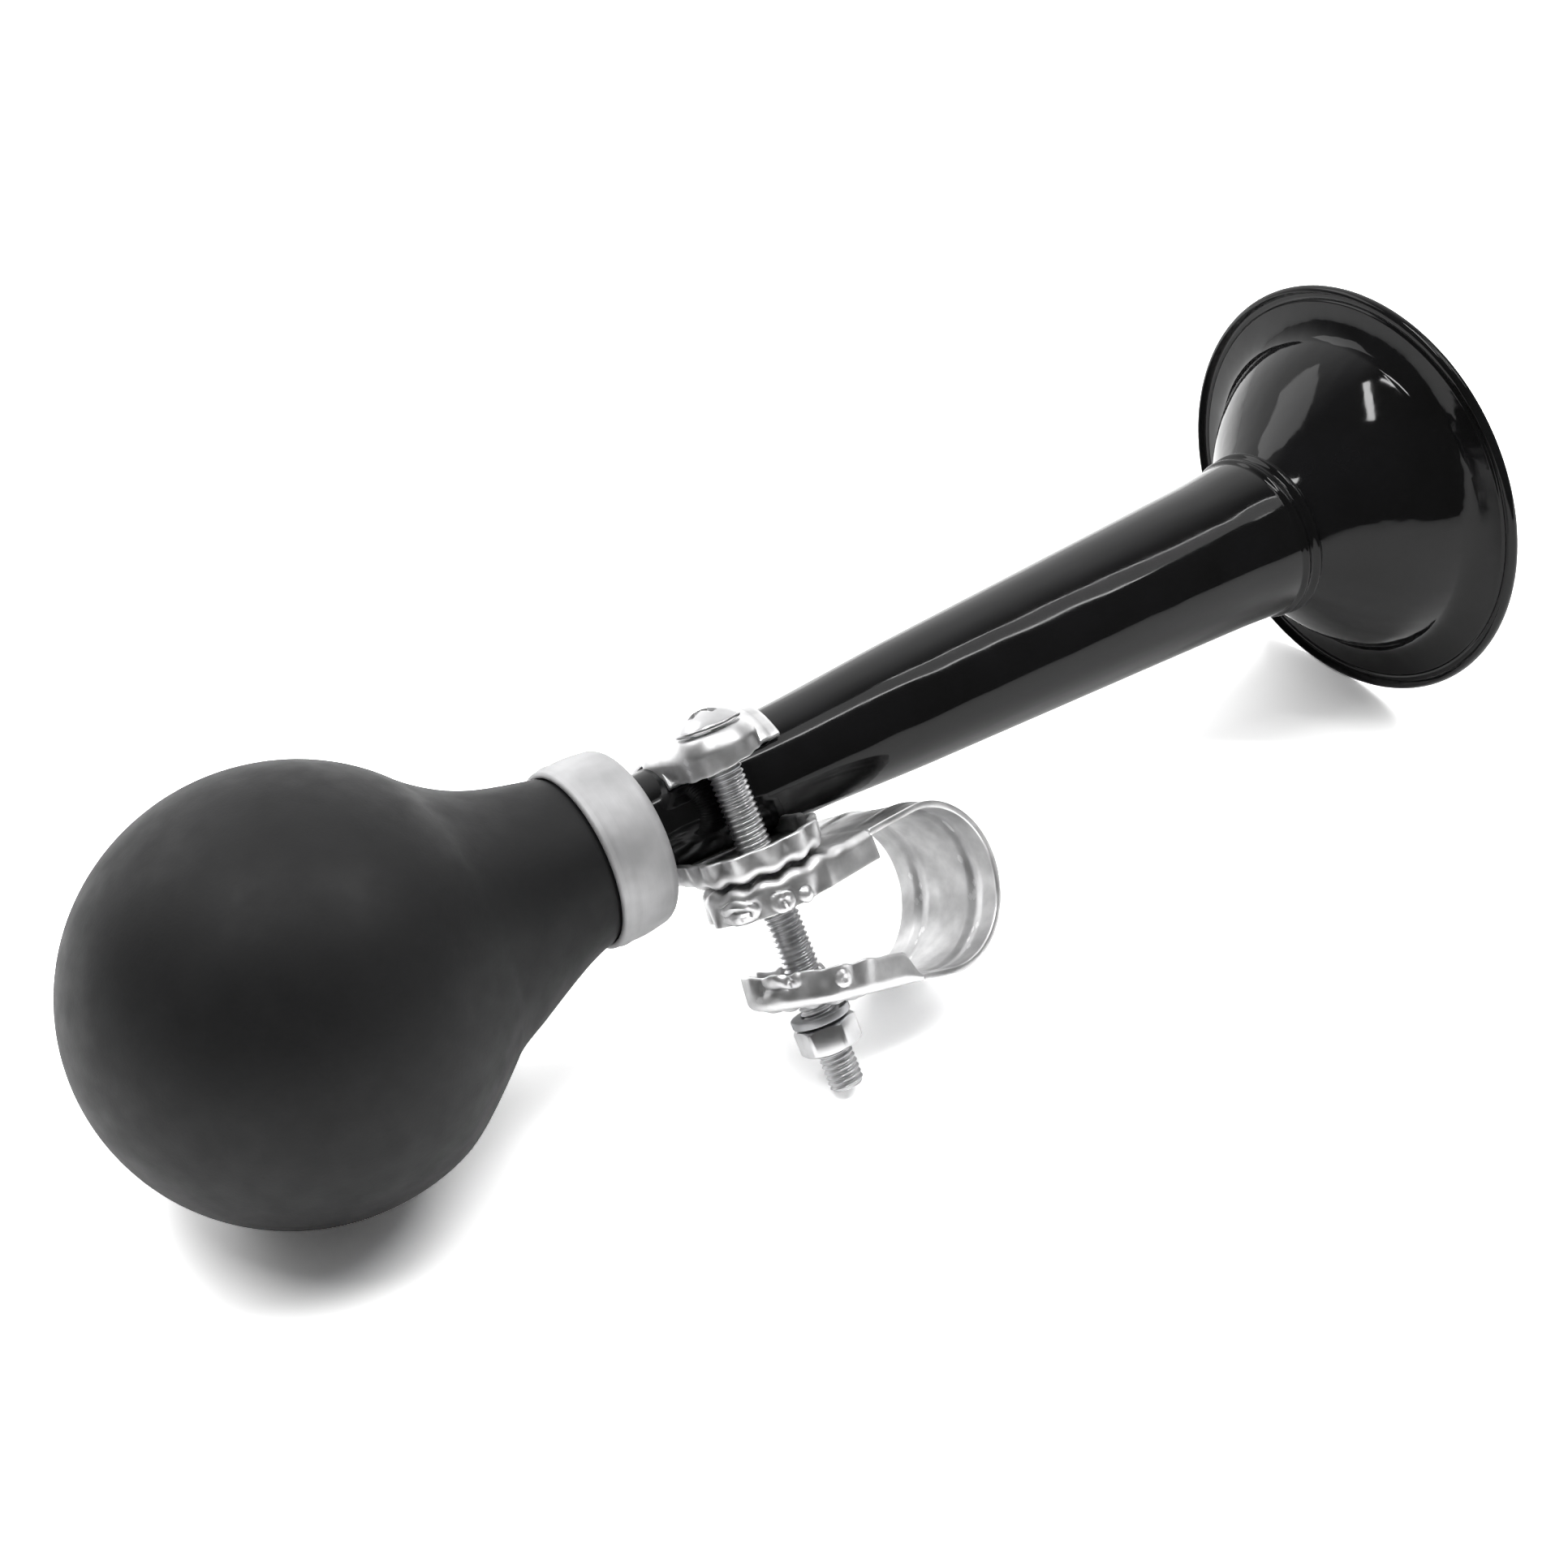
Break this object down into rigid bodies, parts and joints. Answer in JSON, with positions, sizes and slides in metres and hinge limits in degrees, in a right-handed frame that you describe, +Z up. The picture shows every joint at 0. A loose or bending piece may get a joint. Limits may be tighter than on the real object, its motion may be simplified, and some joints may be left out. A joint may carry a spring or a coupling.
{
  "type": "bicycle horn",
  "caption": "Squeeze-bulb bicycle horn: rubber bulb, brass reed, tapered black tube with a flared bell, and a two-strap handlebar clamp on one long bolt.",
  "frame": {"origin": "centre of the base of the bounding box, on the surface the horn lies on", "axes": "+X along the horn from the bulb to the bell's mouth, +Z up, with the horn lying on its bulb, its bell's rim and the end of its clamp bolt"},
  "size_m": [0.2219, 0.0688, 0.0688],
  "materials": {
    "black_rubber": "satin",
    "black_enamel": "gloss",
    "ring_aluminium": "satin",
    "zinc_plated_steel": "satin",
    "reed_brass": "satin",
    "holder_plastic": "matte"
  },
  "bodies": {
    "horn": {"horn_tube": "black_enamel", "bell": "black_enamel", "neck_ring": "ring_aluminium", "reed_holder": "holder_plastic", "reed_shallot": "reed_brass", "reed_wedge": "reed_brass"},
    "bulb": {"bulb": "black_rubber"},
    "tongue": {"reed_tongue": "reed_brass"},
    "horn_clamp": {"horn_strap": "zinc_plated_steel"},
    "bar_clamp": {"handlebar_strap": "zinc_plated_steel"},
    "bolt": {"clamp_bolt": "zinc_plated_steel"},
    "washer": {"lock_washer": "zinc_plated_steel"},
    "nut": {"nut": "zinc_plated_steel"}
  },
  "joints": [
    {"name": "bulb_squeeze", "type": "slide", "parent": "horn", "child": "bulb", "axis": [0.9997, 0, 0.023], "range_m": [0, 0.01], "stiffness_N_per_m": 1500, "deforming": ["bulb"]},
    {"name": "reed_flex", "type": "hinge", "parent": "horn", "child": "tongue", "pos_m": [-0.04705, 0.00054, 0.03164], "axis": [0.0121, 0.8502, -0.5264], "range_deg": [-1, 2], "stiffness_Nm_per_rad": 0.1},
    {"name": "horn_turn", "type": "hinge", "parent": "horn", "child": "horn_clamp", "pos_m": [-0.01834, 0, 0.03143], "axis": [0.9997, 0, 0.023], "continuous": true},
    {"name": "clamp_swivel", "type": "hinge", "parent": "horn_clamp", "child": "bar_clamp", "pos_m": [-0.01804, -0.02177, 0.01813], "axis": [-0.0196, 0.5265, 0.8499], "range_deg": [-133, 66]},
    {"name": "bolt_turn", "type": "hinge", "parent": "horn_clamp", "child": "bolt", "pos_m": [-0.01868, -0.00433, 0.04628], "axis": [-0.0196, 0.5265, 0.8499], "continuous": true},
    {"name": "nut_travel", "type": "slide", "parent": "bolt", "child": "washer", "axis": [-0.0196, 0.5265, 0.8499], "range_m": [-0.004, 0]},
    {"name": "nut_turn", "type": "hinge", "parent": "washer", "child": "nut", "pos_m": [-0.0178, -0.02819, 0.00776], "axis": [-0.0196, 0.5265, 0.8499], "range_deg": [-1860, 60]}
  ],
  "couplings": [
    {"joint": "nut_turn", "follows": "nut_travel", "rad_per_m": 7854}
  ]
}
